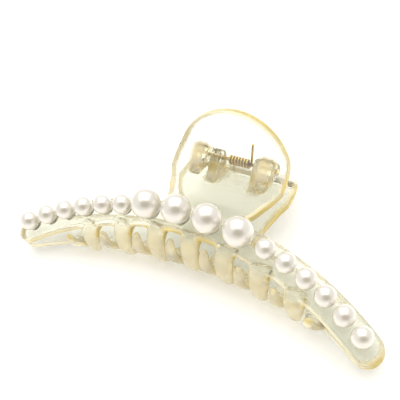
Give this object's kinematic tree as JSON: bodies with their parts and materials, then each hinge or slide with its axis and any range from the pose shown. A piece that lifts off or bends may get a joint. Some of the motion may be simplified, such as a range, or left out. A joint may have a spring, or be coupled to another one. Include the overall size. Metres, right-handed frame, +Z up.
{
  "type": "hair claw clip",
  "caption": "Clear plastic hair claw clip: two sprung jaws with finger levers, arched bows and interlacing teeth, and a row of imitation pearls on the front bow.",
  "frame": {"origin": "middle of the footprint's bounding box, on the surface that the clip lies on", "axes": "+X along the hinge pin and the bows, +Z up from the surface, away from the back jaw towards the pearls, +Y towards the finger levers"},
  "size_m": [0.1098, 0.0534, 0.0325],
  "materials": {
    "clear_plastic": "polished, clear with a champagne tint",
    "gold_wire": "bright gold plating",
    "clear_glue": "clear, slightly cloudy",
    "pearl": "pearlescent white lacquer"
  },
  "bodies": {
    "back_half": {"back_jaw": "clear_plastic", "torsion_spring": "gold_wire"},
    "front_half": {"front_jaw": "clear_plastic", "hinge_pin": "gold_wire", "pearl_glue": "clear_glue", "pearl_01": "pearl", "pearl_02": "pearl", "pearl_03": "pearl", "pearl_04": "pearl", "pearl_05": "pearl", "pearl_06": "pearl", "pearl_07": "pearl", "pearl_08": "pearl", "pearl_09": "pearl", "pearl_10": "pearl", "pearl_11": "pearl", "pearl_12": "pearl", "pearl_13": "pearl", "pearl_14": "pearl", "pearl_15": "pearl", "pearl_16": "pearl"}
  },
  "joints": [
    {"name": "jaw_hinge", "type": "hinge", "parent": "back_half", "child": "front_half", "pos_m": [0, 0.01622, 0.01488], "axis": [-1, 0, 0], "range_deg": [0, 62], "stiffness_Nm_per_rad": 0.12, "springref_deg": -68.75, "deforming": ["torsion_spring"]}
  ]
}
